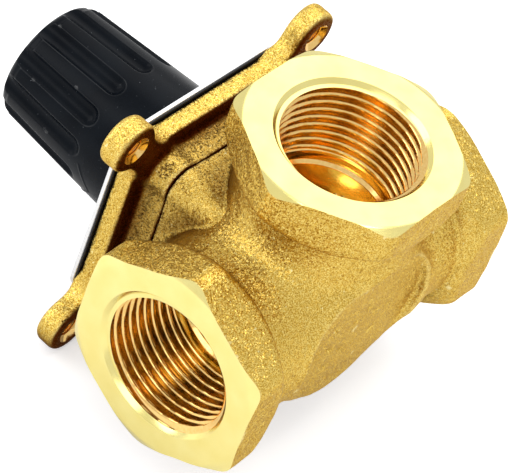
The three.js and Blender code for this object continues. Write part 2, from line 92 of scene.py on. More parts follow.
BODY_LOW, BODY_HIGH = bench_box("valve_body")
PORT_REACH = BODY_HIGH[0]
HEX_HALF = -BODY_LOW[2]
SEAM = BODY_HIGH[2]
BONNET_LOW, BONNET_HIGH = bench_box("bonnet")
SPIGOT_END, TOWER_TOP = BONNET_LOW[2], BONNET_HIGH[2]
SHEET_LOW, SHEET_HIGH = bench_box("backing_sheet")
SCALE_LOW, SCALE_HIGH = bench_box("scale_plate")
SHEET_CLEARANCE = 0.05
PLATE_TOP = SHEET_LOW[2] - SHEET_CLEARANCE
EAR_RADIUS = 6.0
EAR_OFFSET = BONNET_HIGH[0] - EAR_RADIUS
KNOB_LOW, KNOB_HIGH = bench_box("knob_grip")
KNOB_BASE, KNOB_TOP = KNOB_LOW[2], KNOB_HIGH[2]
CAP_LOW, CAP_HIGH = bench_box("knob_cap")
ROTOR_LOW, ROTOR_HIGH = bench_box("rotor")
ROTOR_RADIUS = ROTOR_HIGH[0]
FOOT = AXIS_POINT.y / MM    # the foot lies in the frame's plane y = 0

# ---------------------------------------------------------------- sizes of the castings, mm

# The body's outside
NECK_RADIUS = 20.4
NECK_FILLET = 9.0
HEX_LENGTH = 12.4
COLLAR_FOOT_RADIUS = 21.4
COLLAR_SLOPE = 8 / 7
COLLAR_CORNER = 2.4
COLLAR_FILLET = 0.9
BARREL_RADIUS = 20.0
BARREL_FILLET = 5.0
PAD_HALF = 20.2
PAD_CORNER = 6.0
PAD_WAIST = 1.0
PAD_FOOT = 11.5
PAD_FILLET = 0.6
RECESS_ROUNDING = 1.2
SEAM_ROUNDING = 0.7

# The bonnet's outside
SEAM_GAP = 0.1
LOBE_RADIUS = 4.8
LOBE_FILLET = 0.9
PLATE_HALF = 25.0
PLATE_CORNER = 4.0
PLATE_UNDERSIDE = 30.9
PLATE_ROUNDING = 1.3
EAR_UNDERSIDE = 30.3
EAR_ARM_HALF = 4.2
EAR_ROUNDING = 1.6
SPIGOT_RADIUS = 16.7
TOWER_RADIUS = 9.0

# Machined inside both
FACING_STOCK = 1.0
CHAMBER_RADIUS = 17.0
CHAMBER_LEAD = 0.8
CHAMBER_FLOOR = -15.5
FOOT_SOCKET_RADIUS = 4.2
FOOT_SOCKET_FLOOR = -17
STEM_BORE = 5.3
BUSH_BORE = 7.3
BUSH_SEAT = 26.2
RING_GROOVE_RADIUS = 14.4
RING_GROOVE_LOW, RING_GROOVE_HIGH = 20.8, 23.6
SCREW_OFFSET = 16.4
SCREW_RADIUS = 2.2
SCREW_HOLE_FLOOR = 14.2
SCREW_HEAD_RADIUS = 3.8
SCREW_SEAT = 30.2
EAR_HOLE_RADIUS = 2.5
EAR_THREAD_DEPTH = 0.16
CORNERS = [(x, y) for x in (1, -1) for y in (1, -1)]

# One inch parallel pipe thread
PITCH = 25.4 / 11
THREAD_CREST = 15.145
THREAD_ROOT = 16.624
THREAD_END = 20.6
RELIEF_END = 23.2
MOUTH_RADIUS = 17.0

# The throat behind the thread: radius, and place along the port
THROAT = [(14.3, PORT_REACH - 23.9), (13.7, 10.5), (13.2, 2.0)]

# The faced end's turned edge: radius, and depth below the face
FACE_EDGE = [(23.4, 0), (27.0, 1.7), (34, 5.2)]

GRID = 0.5
SEGMENTS = 192


# ---------------------------------------------------------------- distance fields

def length(*parts):
    return np.sqrt(sum(part * part for part in parts))


def blend_join(a, b, reach):
    """Union of two fields with a fillet."""
    mix = np.maximum(reach - np.abs(a - b), 0) / reach
    return np.minimum(a, b) - mix * mix * reach / 4


def blend_common(a, b, reach):
    """Intersection of two fields with a rounded edge."""
    return -blend_join(-a, -b, reach)


def slab(z, bottom, top):
    """The space between two heights."""
    return np.abs(z - (top + bottom) / 2) - (top - bottom) / 2


def hexagon(across, height, softness):
    """A hexagon with two flats facing up and down, its corners rounded."""
    root = math.sqrt(3) / 2
    first = np.abs(root * across + height / 2)
    second = np.abs(root * across - height / 2)
    return blend_common(blend_common(first, second, softness), np.abs(height), softness) - HEX_HALF


def lobed_square(x, y):
    """The bonnet's neck: a square with a screw lobe standing out at each corner."""
    square = blend_common(np.abs(x) - PAD_HALF, np.abs(y) - PAD_HALF, PAD_CORNER)
    lobe = length(np.abs(x) - SCREW_OFFSET, np.abs(y) - SCREW_OFFSET) - LOBE_RADIUS
    return blend_join(square, lobe, LOBE_FILLET)


def waisted_square(x, y):
    """The body's pad: a square with round corners, its sides drawn in a little between them."""
    out_x = np.clip(np.abs(x) / SCREW_OFFSET, 0, 1) ** 2 * PAD_WAIST
    out_y = np.clip(np.abs(y) / SCREW_OFFSET, 0, 1) ** 2 * PAD_WAIST
    return blend_common(np.abs(x) - PAD_HALF - out_y, np.abs(y) - PAD_HALF - out_x, PAD_CORNER)


def collar(along, across, height):
    """The hexagon collar on one port, from its coned back to just past the faced end."""
    radial = length(across, height)
    back = PORT_REACH - HEX_LENGTH
    cone = (radial - COLLAR_FOOT_RADIUS - (along - back) * COLLAR_SLOPE) / math.hypot(1, COLLAR_SLOPE)
    flanks = blend_common(hexagon(across, height, COLLAR_CORNER), cone, 1.1)
    return np.maximum(blend_common(flanks, back - along, 0.8), along - PORT_REACH - FACING_STOCK)


def parting_ridge(z):
    """The fine raised line where the forging dies met."""
    return 0.16 * np.exp(-(z / 0.45) ** 2)


def forging_waves(x, y, z):
    """The slight unevenness of a forged skin, at most a tenth of a millimetre either way."""
    long_wave = np.sin(0.61 * x + 0.33 * y) * np.sin(0.52 * y - 0.47 * z + 1.1)
    short_wave = np.sin(1.31 * x - 0.73 * z + 0.4) * np.sin(1.17 * y + 0.91 * z)
    return 0.06 * long_wave + 0.03 * short_wave * np.sin(0.37 * (x + y + z))


def foot_scars(x, y):
    """Short shallow gouges that the trimming left across the foot."""
    draw = np.random.default_rng(7)
    depth = 0
    for _ in range(11):
        from_stem, turn = draw.uniform(2, 16.5), draw.uniform(0, 2 * math.pi)
        lean, reach, cut = draw.normal(0.7, 0.25), draw.uniform(0.8, 2.2), draw.uniform(0.25, 0.55)
        dx, dy = x - from_stem * math.cos(turn), y - from_stem * math.sin(turn)
        along = dx * math.cos(lean) + dy * math.sin(lean)
        across = dy * math.cos(lean) - dx * math.sin(lean)
        depth = depth + cut * np.exp(-(along / reach) ** 2 - (across / 0.6) ** 2)
    return depth


def body_field(x, y, z):
    """The forged outside of the valve body."""
    around_stem = length(x, y)
    end = PORT_REACH - 3
    run = np.maximum(length(y, z) - NECK_RADIUS, np.abs(x) - end)
    branch = np.maximum(np.maximum(length(x, z) - NECK_RADIUS, y - end), -y)
    barrel = blend_common(around_stem - BARREL_RADIUS, FOOT - z, 2.0)
    barrel = np.maximum(barrel, z - SEAM)
    trunk = blend_join(blend_join(run, branch, NECK_FILLET), barrel, BARREL_FILLET)
    pad = blend_common(waisted_square(x, y), PAD_FOOT - z, 1.4)
    trunk = blend_join(trunk, pad, PAD_FILLET) - parting_ridge(z)
    collars = np.minimum(collar(np.abs(x), y, z), collar(y, x, z))
    solid = blend_join(trunk, collars, COLLAR_FILLET)
    recess = blend_common(around_stem - BARREL_RADIUS, z - FOOT - foot_scars(x, y), RECESS_ROUNDING)
    solid = blend_common(solid, -recess, RECESS_ROUNDING) + forging_waves(x, y, z)
    return blend_common(solid, z - SEAM, SEAM_ROUNDING)


def bonnet_field(x, y, z):
    """The bonnet's outside: lobed neck, square plate with four ears, stem tower and spigot."""
    around_stem = length(x, y)
    neck = np.maximum(lobed_square(x, y), z - PLATE_TOP + 1)
    square = blend_common(np.abs(x) - PLATE_HALF, np.abs(y) - PLATE_HALF, PLATE_CORNER)
    plate = blend_common(square, slab(z, PLATE_UNDERSIDE, PLATE_TOP), PLATE_ROUNDING)
    out = (np.abs(x) + np.abs(y)) / math.sqrt(2)
    side = (np.abs(x) - np.abs(y)) / math.sqrt(2)
    centre = EAR_OFFSET * math.sqrt(2)
    eye = length(out - centre, side) - EAR_RADIUS
    arm = np.maximum(np.abs(side) - EAR_ARM_HALF, np.abs(out - centre / 2) - centre / 2)
    ear = blend_join(eye, arm, EAR_ROUNDING)
    ear = blend_common(ear, slab(z, EAR_UNDERSIDE, PLATE_TOP), EAR_ROUNDING)
    top = blend_join(plate, ear, 2.2)
    column = np.maximum(around_stem - TOWER_RADIUS, z - TOWER_TOP)
    spigot = np.maximum(around_stem - SPIGOT_RADIUS, z - PLATE_TOP + 1)
    column = np.maximum(np.minimum(column, spigot), SPIGOT_END - z)
    outside = blend_join(top, neck, 2.0) + forging_waves(x, y, z) / 2
    outside = blend_common(outside, SEAM + SEAM_GAP - z, SEAM_ROUNDING)
    return np.minimum(outside, column)


def gradient(field, points, step=0.05):
    """The field's slope at each point, by central differences."""
    slopes = []
    for axis in range(3):
        offset = np.zeros(3)
        offset[axis] = step
        ahead = field(*(points + offset).T)
        behind = field(*(points - offset).T)
        slopes.append((ahead - behind) / (2 * step))
    return np.column_stack(slopes)


def skin(field, low, high, step):
    """A closed mesh of quads on a field's zero surface: surface nets, then pulled onto the surface."""
    axes = [np.arange(a - 1.5 * step, b + 1.5 * step, step) for a, b in zip(low, high)]
    grids = np.meshgrid(*axes, indexing="ij", sparse=True)
    inside = field(*grids) < 0
    cells = [slice(None, -1), slice(1, None)]
    count = sum(
        inside[a, b, c].astype(np.int8) for a in cells for b in cells for c in cells
    )
    mixed = (count > 0) & (count < 8)
    index = np.full(mixed.shape, -1, np.int64)
    index[mixed] = np.arange(mixed.sum())
    corner = np.argwhere(mixed)
    points = np.column_stack([axes[k][corner[:, k]] + step / 2 for k in range(3)])
    for _ in range(6):
        slope = gradient(field, points)
        size = np.maximum((slope ** 2).sum(1), 0.05)
        move = -(field(*points.T) / size)[:, None] * slope
        points += np.clip(move, -step, step)
    faces = []
    for axis in range(3):
        first = np.take(inside, range(inside.shape[axis] - 1), axis)
        second = np.take(inside, range(1, inside.shape[axis]), axis)
        edge = np.argwhere(first != second)
        outwards = first[tuple(edge.T)]
        u, v = (axis + 1) % 3, (axis + 2) % 3
        ring = []
        for du, dv in ((-1, -1), (0, -1), (0, 0), (-1, 0)):
            cell = edge.copy()
            cell[:, u] += du
            cell[:, v] += dv
            ring.append(index[tuple(cell.T)])
        quad = np.column_stack(ring)
        quad[~outwards] = quad[~outwards][:, ::-1]
        faces.append(quad)
    return points, np.vstack(faces)


# ---------------------------------------------------------------- meshes

def new_mesh(name, points, faces, smooth=True):
    """A linked mesh object from bench-frame points and a list or an array of faces."""
    if isinstance(faces, np.ndarray):
        faces = faces.tolist()
    mesh = bpy.data.meshes.new(name)
    mesh.from_pydata(bench_to_row(points).tolist(), [], faces)
    obj = bpy.data.objects.new(name, mesh)
    bpy.context.scene.collection.objects.link(obj)
    tidy_mesh(mesh)
    mesh.polygons.foreach_set("use_smooth", [smooth] * len(mesh.polygons))
    return obj


def tidy_mesh(mesh):
    """Joins doubled points, drops empty faces and turns every face outwards."""
    bm = bmesh.new()
    bm.from_mesh(mesh)
    bmesh.ops.remove_doubles(bm, verts=bm.verts, dist=0.0005 * MM)
    bmesh.ops.dissolve_degenerate(bm, edges=bm.edges, dist=0.0002 * MM)
    bmesh.ops.recalc_face_normals(bm, faces=bm.faces)
    bm.to_mesh(mesh)
    bm.free()


def spun(profile, segments=SEGMENTS, closed=False, form=None):
    """Points and quads of a turned surface about +Z, from (radius, height) rows."""
    rows = np.array(profile, float)
    angle = np.arange(segments) * (2 * math.pi / segments)
    radius = np.repeat(rows[:, :1], segments, 1)
    height = np.repeat(rows[:, 1:], segments, 1)
    if form:
        radius = form(angle[None, :], radius, height)
    points = np.stack([radius * np.cos(angle), radius * np.sin(angle), height], -1).reshape(-1, 3)
    count = len(rows)
    row = np.arange(count if closed else count - 1)[:, None]
    column = np.arange(segments)[None, :]
    after = (column + 1) % segments
    above = (row + 1) % count
    quads = [row * segments + column, row * segments + after,
             above * segments + after, above * segments + column]
    return points, np.stack(quads, -1).reshape(-1, 4)


def about_stem(x, y, turn):
    """A point turned about the stem."""
    return x * math.cos(turn) - y * math.sin(turn), x * math.sin(turn) + y * math.cos(turn)


def along_port(points, port):
    """Turns points made about +Z so that they run out along one port: right, left or branch."""
    u, v, out = points.T
    if port == "branch":
        return np.column_stack([-u, out, v])
    side = 1 if port == "right" else -1
    return np.column_stack([side * out, side * u, v])


def shade_smooth(obj, sharp_degrees):
    """Smooth shading everywhere, broken at edges sharper than an angle."""
    obj.data.polygons.foreach_set("use_smooth", [True] * len(obj.data.polygons))
    obj.data.set_sharp_from_angle(angle=math.radians(sharp_degrees))


def cut_mesh(target, tool, operation="DIFFERENCE"):
    """Applies a boolean with a throwaway tool object."""
    modifier = target.modifiers.new("cut", "BOOLEAN")
    modifier.object = tool
    modifier.operation = operation
    modifier.solver = "MANIFOLD"
    depsgraph = bpy.context.evaluated_depsgraph_get()
    mesh = bpy.data.meshes.new_from_object(target.evaluated_get(depsgraph))
    target.modifiers.clear()
    old = target.data
    target.data = mesh
    bpy.data.meshes.remove(old)
    bpy.data.objects.remove(tool)


NEARLY_STRAIGHT = math.radians(86)


def rounded(points, radius, steps=6):
    """A profile with each inner corner replaced by a curve, close to a fillet of the given radius."""
    rows = [np.array(p, float) for p in points]
    result = [rows[0]]
    for before, here, after in zip(rows, rows[1:], rows[2:]):
        a, b = before - here, after - here
        reach_a, reach_b = np.linalg.norm(a), np.linalg.norm(b)
        a, b = a / reach_a, b / reach_b
        half = math.acos(float(np.clip(a @ b, -1, 1))) / 2
        if half > NEARLY_STRAIGHT:
            result.append(here)
            continue
        back = min(radius / math.tan(half), 0.45 * reach_a, 0.45 * reach_b)
        for t in np.linspace(0, 1, steps):
            start, end = here + a * back, here + b * back
            result.append((1 - t) ** 2 * start + 2 * t * (1 - t) * here + t ** 2 * end)
    result.append(rows[-1])
    return result


# ---------------------------------------------------------------- port machining

def whitworth(phase):
    """Depth of the rounded 55 degree thread at a phase of the pitch, from 0 at the crest to 1 at the root."""
    flank = np.abs(phase - np.round(phase)) * 2
    lower, upper = 0.14, 0.86
    ramp = np.clip((flank - lower) / (upper - lower), 0, 1)
    return ramp - np.sin(2 * math.pi * ramp) * 0.045


def port_profile():
    """Rows of a port's bore, from the axis outside the mouth to the axis inside the chamber."""
    face = PORT_REACH
    thread = [(THREAD_CREST, z) for z in np.arange(face - 0.9, face - THREAD_END - 0.8, -0.11)]
    relief = THREAD_CREST + 0.06
    inner = rounded([(relief, face - THREAD_END - 0.9), (relief, face - RELIEF_END)] + THROAT, 0.3)
    mouth = [(0, face + 3), (MOUTH_RADIUS + 0.1, face + 3), (MOUTH_RADIUS + 0.1, face + 0.02),
             (MOUTH_RADIUS - 0.05, face - 0.12), (THREAD_CREST + 0.9, face - 0.85)]
    return mouth + thread + inner + [(0, THROAT[-1][1])]


def threaded(angle, radius, height):
    """Cuts the thread's grooves into the rows between the mouth and the end of the thread."""
    depth = PORT_REACH - height
    fade = np.clip(depth / 0.5, 0, 1) * np.clip((THREAD_END - depth) / 0.9, 0, 1)
    wave = whitworth(height / PITCH - angle / (2 * math.pi))
    groove = np.where(radius <= THREAD_CREST + 1e-6, (THREAD_ROOT - THREAD_CREST) * wave * fade, 0)
    return radius + groove


def facing_profile():
    """The faced end and its turned corner chamfer, as a ring that holds what is cut away."""
    face = PORT_REACH
    edge = rounded([(10, face)] + [(radius, face - depth) for radius, depth in FACE_EDGE], 2.5, 8)
    return edge + [(FACE_EDGE[-1][0], face + 3), (10, face + 3)]


def countersink_profile():
    """The bright lead-in to the thread."""
    face = PORT_REACH
    return [(0, face + 2), (MOUTH_RADIUS + 0.25, face + 2), (MOUTH_RADIUS + 0.15, face),
            (MOUTH_RADIUS - 0.1, face - 0.2), (THREAD_CREST + 1.0, face - 1.0), (0, face - 1.0)]


def plain_hole(radius, bottom, top):
    return [(0, bottom), (radius, bottom), (radius, top), (0, top)]


def ear_hole_profile():
    """An ear's hole: countersunk at both ends, with rings for its fine thread."""
    rows = [(0, EAR_UNDERSIDE - 2), (4.4, EAR_UNDERSIDE - 2), (4.4, EAR_UNDERSIDE - 1),
            (EAR_HOLE_RADIUS + 0.1, EAR_UNDERSIDE + 1.0)]
    for k, z in enumerate(np.arange(EAR_UNDERSIDE + 1.1, PLATE_TOP - 0.9, 0.25)):
        groove = 1 if k % 3 == 1 else -1
        rows.append((EAR_HOLE_RADIUS + EAR_THREAD_DEPTH * groove, z))
    return rows + [(EAR_HOLE_RADIUS + 0.1, PLATE_TOP - 0.8), (4.2, PLATE_TOP + 1), (0, PLATE_TOP + 1)]


def machine(casting, points, faces, finish):
    """Cuts a shape out of a casting. The faces it leaves carry one of the casting's finishes."""
    tool = new_mesh("tool", points, faces)
    for material in CASTING_FINISHES:
        tool.data.materials.append(material)
    tool.data.polygons.foreach_set("material_index", [finish] * len(tool.data.polygons))
    cut_mesh(casting, tool)


def drill(casting, profile, segments, corner=(0, 0), offset=0, closed=False):
    """Cuts a turned shape out of a casting, about the stem or in one of the four corners."""
    points, faces = spun(profile, segments, closed)
    machine(casting, points + [corner[0] * offset, corner[1] * offset, 0], faces, BORED)


def stand_for(piece, body, node):
    """Makes a piece ride on a body, in a CAD node's place, and hides that node."""
    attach(piece, body)
    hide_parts(node)


def build_body():
    """The body's forging, with its ports, chamber and screw holes machined into it."""
    reach = PORT_REACH + FACING_STOCK
    points, faces = skin(body_field, (-reach, BODY_LOW[1], BODY_LOW[2]), (reach, reach, SEAM), GRID)
    body = new_mesh("valve_body_forging", points, faces)
    for material in CASTING_FINISHES:
        body.data.materials.append(material)
    for port in ("right", "left", "branch"):
        for profile, form, closed, finish in (
            (facing_profile(), None, True, TURNED),
            (port_profile(), threaded, False, BORED),
            (countersink_profile(), None, False, TURNED),
        ):
            points, faces = spun(profile, SEGMENTS, closed, form)
            machine(body, along_port(points, port), faces, finish)
    drill(body, [(0, CHAMBER_FLOOR), (CHAMBER_RADIUS, CHAMBER_FLOOR), (CHAMBER_RADIUS, SEAM - 0.6),
                 (CHAMBER_RADIUS + CHAMBER_LEAD, SEAM + 1), (0, SEAM + 1)], 128)
    drill(body, plain_hole(FOOT_SOCKET_RADIUS, FOOT_SOCKET_FLOOR, CHAMBER_FLOOR + 1), 48)
    for corner in CORNERS:
        drill(body, plain_hole(SCREW_RADIUS, SCREW_HOLE_FLOOR, SEAM + 1), 32, corner, SCREW_OFFSET)
    shade_smooth(body, 34)
    stand_for(body, "housing", "valve_body")


def build_bonnet():
    """The bonnet's forging, with its stem bore, ring groove and the holes in its corners and ears."""
    reach = BONNET_HIGH[0]
    points, faces = skin(bonnet_field, (-reach, -reach, SPIGOT_END), (reach, reach, TOWER_TOP), GRID)
    bonnet = new_mesh("bonnet_forging", points, faces)
    for material in (flange_brass, turned_brass, bored_brass):
        bonnet.data.materials.append(material)
    drill(bonnet, [(0, SPIGOT_END - 2), (BUSH_BORE, SPIGOT_END - 2), (BUSH_BORE, BUSH_SEAT),
                   (STEM_BORE, BUSH_SEAT), (STEM_BORE, TOWER_TOP + 2), (0, TOWER_TOP + 2)], 96)
    past_spigot = 20
    drill(bonnet, [(RING_GROOVE_RADIUS, RING_GROOVE_LOW), (past_spigot, RING_GROOVE_LOW),
                   (past_spigot, RING_GROOVE_HIGH), (RING_GROOVE_RADIUS, RING_GROOVE_HIGH)], 96, closed=True)
    screw_hole = [(0, SEAM - 1), (SCREW_RADIUS, SEAM - 1), (SCREW_RADIUS, SCREW_SEAT),
                  (SCREW_HEAD_RADIUS, SCREW_SEAT), (SCREW_HEAD_RADIUS, PLATE_TOP + 1), (0, PLATE_TOP + 1)]
    for corner in CORNERS:
        drill(bonnet, ear_hole_profile(), 64, corner, EAR_OFFSET)
        drill(bonnet, screw_hole, 48, corner, SCREW_OFFSET)
    shade_smooth(bonnet, 34)
    stand_for(bonnet, "housing", "bonnet")


# ---------------------------------------------------------------- shader helpers

class Shader:
    """A small wrapper that builds one node material."""

    def __init__(self, name):
        self.material = bpy.data.materials.new(name)
        self.material.use_nodes = True
        self.tree = self.material.node_tree
        self.surface = self.tree.nodes["Principled BSDF"]

    def node(self, kind, **settings):
        item = self.tree.nodes.new("ShaderNode" + kind)
        for key, value in settings.items():
            setattr(item, key, value)
        return item

    def link(self, source, target):
        self.tree.links.new(source, target)

    def put(self, value, socket):
        """Sets a socket to a number or colour, or links it."""
        if isinstance(value, bpy.types.NodeSocket):
            self.link(value, socket)
        else:
            socket.default_value = value

    def place(self):
        return self.node("TexCoord").outputs["Object"]

    def split(self, vector):
        """A vector's x, y and z."""
        item = self.node("SeparateXYZ")
        self.link(vector, item.inputs[0])
        return item.outputs

    def math(self, operation, a, b=0.0):
        item = self.node("Math", operation=operation)
        self.put(a, item.inputs[0])
        self.put(b, item.inputs[1])
        return item.outputs[0]

    def noise(self, vector, scale, detail=2.0, rough=0.5):
        item = self.node("TexNoise")
        self.link(vector, item.inputs["Vector"])
        item.inputs["Scale"].default_value = scale
        item.inputs["Detail"].default_value = detail
        item.inputs["Roughness"].default_value = rough
        return item.outputs["Fac"]

    def ramp(self, fac, stops):
        item = self.node("ValToRGB")
        self.link(fac, item.inputs["Fac"])
        elements = item.color_ramp.elements
        while len(elements) < len(stops):
            elements.new(0.5)
        for element, (position, colour) in zip(elements, stops):
            element.position = position
            element.color = (*colour, 1)
        return item.outputs["Color"]

    def spread(self, fac, low, high, a=0.3, b=0.7):
        item = self.node("MapRange")
        self.link(fac, item.inputs["Value"])
        item.inputs["From Min"].default_value = a
        item.inputs["From Max"].default_value = b
        item.inputs["To Min"].default_value = low
        item.inputs["To Max"].default_value = high
        return item.outputs["Result"]

    def mix(self, fac, a, b):
        item = self.node("Mix", data_type="RGBA")
        self.put(fac, item.inputs[0])
        self.put(a if isinstance(a, bpy.types.NodeSocket) else (*a, 1), item.inputs[6])
        self.put(b if isinstance(b, bpy.types.NodeSocket) else (*b, 1), item.inputs[7])
        return item.outputs[2]

    def bump(self, height, strength, distance, normal=None):
        item = self.node("Bump")
        self.link(height, item.inputs["Height"])
        item.inputs["Strength"].default_value = strength
        item.inputs["Distance"].default_value = distance
        if normal is not None:
            self.link(normal, item.inputs["Normal"])
        return item.outputs["Normal"]

    def glitter(self, vector, normal, scale, tilt):
        """Leans the normal a random way in each small grain."""
        cells = self.node("TexVoronoi")
        self.link(vector, cells.inputs["Vector"])
        cells.inputs["Scale"].default_value = scale
        centred = self.node("VectorMath", operation="SUBTRACT")
        self.link(cells.outputs["Color"], centred.inputs[0])
        centred.inputs[1].default_value = (0.5, 0.5, 0.5)
        lean = self.node("VectorMath", operation="SCALE")
        self.link(centred.outputs[0], lean.inputs[0])
        lean.inputs["Scale"].default_value = tilt
        total = self.node("VectorMath", operation="ADD")
        self.link(lean.outputs[0], total.inputs[0])
        self.link(normal, total.inputs[1])
        unit = self.node("VectorMath", operation="NORMALIZE")
        self.link(total.outputs[0], unit.inputs[0])
        return unit.outputs[0]

    def finish(self, colour, roughness, metallic, normal=None, **extra):
        inputs = self.surface.inputs
        self.put(colour if isinstance(colour, bpy.types.NodeSocket) else (*colour, 1), inputs["Base Color"])
        self.put(roughness, inputs["Roughness"])
        self.put(metallic, inputs["Metallic"])
        if normal is not None:
            self.link(normal, inputs["Normal"])
        for key, value in extra.items():
            self.put(value, inputs[key.replace("_", " ")])
        return self.material


# ---------------------------------------------------------------- materials

# Painted shade: the dark brown mixed into the forged brass in hollows and under the bonnet's plate
PAINTED_SHADE_BROWN = (0.10, 0.024, 0.005)


def make_forged_brass(name, painted_underside_shade=False):
    """Shot blasted forging: satin gold with a fine sparkle, paler on worn edges, and painted shade: dark
    brown in deep corners from ambient occlusion.
    """
    s = Shader(name)
    place = s.place()
    broad = s.noise(place, 90, 3)
    grain = s.noise(place, 4300, 2, 0.6)
    pits = s.noise(place, 1100, 2)
    colour = s.ramp(broad, [(0.3, (0.74, 0.47, 0.06)), (0.7, (0.90, 0.61, 0.10))])
    speckle = s.ramp(grain, [
        (0.38, (0.38, 0.18, 0.015)), (0.5, (0.80, 0.53, 0.09)), (0.62, (1.0, 0.84, 0.31)),
    ])
    colour = s.mix(0.75, colour, speckle)
    fleck = s.spread(s.noise(place, 900, 1), 0, 0.8, 0.73, 0.77)
    colour = s.mix(fleck, colour, (1.0, 0.90, 0.45))
    geometry = s.node("NewGeometry")
    edge = s.spread(geometry.outputs["Pointiness"], 0, 1, 0.515, 0.60)
    colour = s.mix(edge, colour, (0.98, 0.82, 0.36))
    shade = s.node("AmbientOcclusion", samples=12)
    shade.inputs["Distance"].default_value = 0.030
    # Painted shade: the colour goes to dark brown where ambient occlusion is low
    unshaded_share = s.spread(shade.outputs["AO"], 0, 1, 0.29, 0.72)
    colour = s.mix(unshaded_share, PAINTED_SHADE_BROWN, colour)
    if painted_underside_shade:
        # Painted shade: faces that look down under the plate, where ambient occlusion finds them shaded, go
        # dark brown
        facing = s.split(geometry.outputs["Normal"])[1]
        under = s.spread(facing, 0, 1, 0.45, 0.80)
        deep = s.spread(shade.outputs["AO"], 1, 0, 0.74, 1.0)
        colour = s.mix(s.math("MULTIPLY", under, deep), colour, PAINTED_SHADE_BROWN)
    normal = s.bump(pits, 0.2, 0.00008)
    normal = s.bump(grain, 0.7, 0.00004, normal)
    normal = s.glitter(place, normal, 3000, 0.55)
    rough = s.spread(grain, 0.28, 0.46)
    return s.finish(colour, rough, 1.0, normal, Specular_Tint=(0.70, 0.58, 0.47, 1))


def tool_radius(s):
    """Distance from a port's axis, in metres: what the marks of a lathe tool follow."""
    x, y, z = s.split(s.place())
    height = s.math("SUBTRACT", y, AXIS_POINT.y)
    run = s.math("GREATER_THAN", s.math("ABSOLUTE", x), z)
    across = s.node("Mix", data_type="FLOAT")
    s.link(run, across.inputs[0])
    s.link(x, across.inputs[2])
    s.link(z, across.inputs[3])
    across = s.math("ABSOLUTE", across.outputs[0])
    square = s.math("ADD", s.math("POWER", height, 2.0), s.math("POWER", across, 2.0))
    return s.math("SQRT", square)


def make_turned_brass():
    """Faces cut on a lathe, the stem and the rotor: bright pale brass with concentric tool marks."""
    s = Shader("turned_brass_bright")
    radius = tool_radius(s)
    rows = s.node("CombineXYZ")
    s.link(radius, rows.inputs[0])
    marks = s.noise(rows.outputs[0], 2600, 2)
    smear = s.noise(s.place(), 160, 2)
    colour = s.ramp(smear, [(0.3, (0.93, 0.79, 0.27)), (0.7, (0.97, 0.85, 0.33))])
    normal = s.bump(marks, 0.35, 0.000012)
    return s.finish(colour, s.spread(marks, 0.14, 0.24), 1.0, normal)


def make_bored_brass():
    """Threads and bores: the same metal as the turned faces, given a warmer, darker colour as painted shade
    for being deep in a hole.
    """
    s = Shader("bored_brass_warm")
    marks = s.noise(s.place(), 1800, 2)
    # Painted shade: warmer and darker than the turned brass, for the light deep in the holes
    colour = s.ramp(marks, [(0.3, (0.92, 0.57, 0.17)), (0.7, (0.98, 0.68, 0.26))])
    return s.finish(colour, s.spread(marks, 0.10, 0.19), 1.0, s.bump(marks, 0.25, 0.00001))


def make_steel():
    s = Shader("zinc_steel")
    flow = s.noise(s.place(), 1500, 3)
    colour = s.ramp(flow, [(0.3, (0.45, 0.46, 0.48)), (0.7, (0.62, 0.63, 0.65))])
    return s.finish(colour, s.spread(flow, 0.22, 0.4), 1.0, s.bump(flow, 0.4, 0.00002))


def make_scale_metal():
    """Brushed aluminium sheet."""
    s = Shader("brushed_aluminium")
    stretch = s.node("Mapping")
    s.link(s.place(), stretch.inputs["Vector"])
    stretch.inputs["Scale"].default_value = (60, 60, 3500)
    brush = s.noise(stretch.outputs[0], 1.0, 4, 0.6)
    colour = s.ramp(brush, [(0.3, (0.80, 0.81, 0.82)), (0.7, (0.93, 0.93, 0.94))])
    return s.finish(colour, s.spread(brush, 0.28, 0.42), 0.85, s.bump(brush, 0.3, 0.00001))


def make_knob_plastic():
    """Black moulded nylon: satin, with a faint mould grain and specks of dust."""
    s = Shader("knob_nylon")
    place = s.place()
    grain = s.noise(place, 2400, 2)
    waves = s.noise(place, 120, 2)
    dust = s.noise(place, 2600, 1)
    base = s.ramp(waves, [(0.3, (0.002, 0.003, 0.005)), (0.7, (0.004, 0.006, 0.009))])
    colour = s.mix(s.spread(dust, 0, 0.5, 0.77, 0.81), base, (0.35, 0.37, 0.4))
    normal = s.bump(waves, 0.25, 0.0002)
    normal = s.bump(grain, 0.3, 0.000015, normal)
    # The flutes' rims are polished by hands; painted shade takes the reflection out of the flutes and hollows
    # by ambient occlusion
    shade = s.node("AmbientOcclusion", samples=6)
    shade.inputs["Distance"].default_value = 0.004
    unshaded_share = s.spread(shade.outputs["AO"], 0.0, 0.08, 0.55, 0.95)
    rim = s.spread(s.node("NewGeometry").outputs["Pointiness"], 0, 0.5, 0.52, 0.58)
    x, y, z = s.split(place)
    from_stem = s.node("CombineXYZ")
    s.link(x, from_stem.inputs[0])
    s.link(s.math("SUBTRACT", z, AXIS_POINT.z), from_stem.inputs[1])
    radius = s.node("VectorMath", operation="LENGTH")
    s.link(from_stem.outputs[0], radius.inputs[0])
    height = s.math("SUBTRACT", AXIS_POINT.y, y)
    taper = s.spread(height, KNOB_BASE_RADIUS * MM, KNOB_TOP_RADIUS * MM, KNOB_BASE * MM, KNOB_TOP * MM)
    sunk = s.math("SUBTRACT", taper, radius.outputs["Value"])
    rim = s.math("MULTIPLY", rim, s.spread(sunk, 1, 0, 0.10 * MM, 0.35 * MM))
    shine = s.math("ADD", unshaded_share, rim)
    return s.finish(colour, s.spread(waves, 0.22, 0.32), 0.0, normal, Specular_IOR_Level=shine)


def make_moulded_plastic(name, tone, rough):
    s = Shader(name)
    grain = s.noise(s.place(), 2000, 2)
    colour = s.ramp(grain, [(0.3, tuple(0.8 * c for c in tone)), (0.7, tone)])
    return s.finish(colour, s.spread(grain, rough, rough + 0.12), 0.0, s.bump(grain, 0.35, 0.00002))


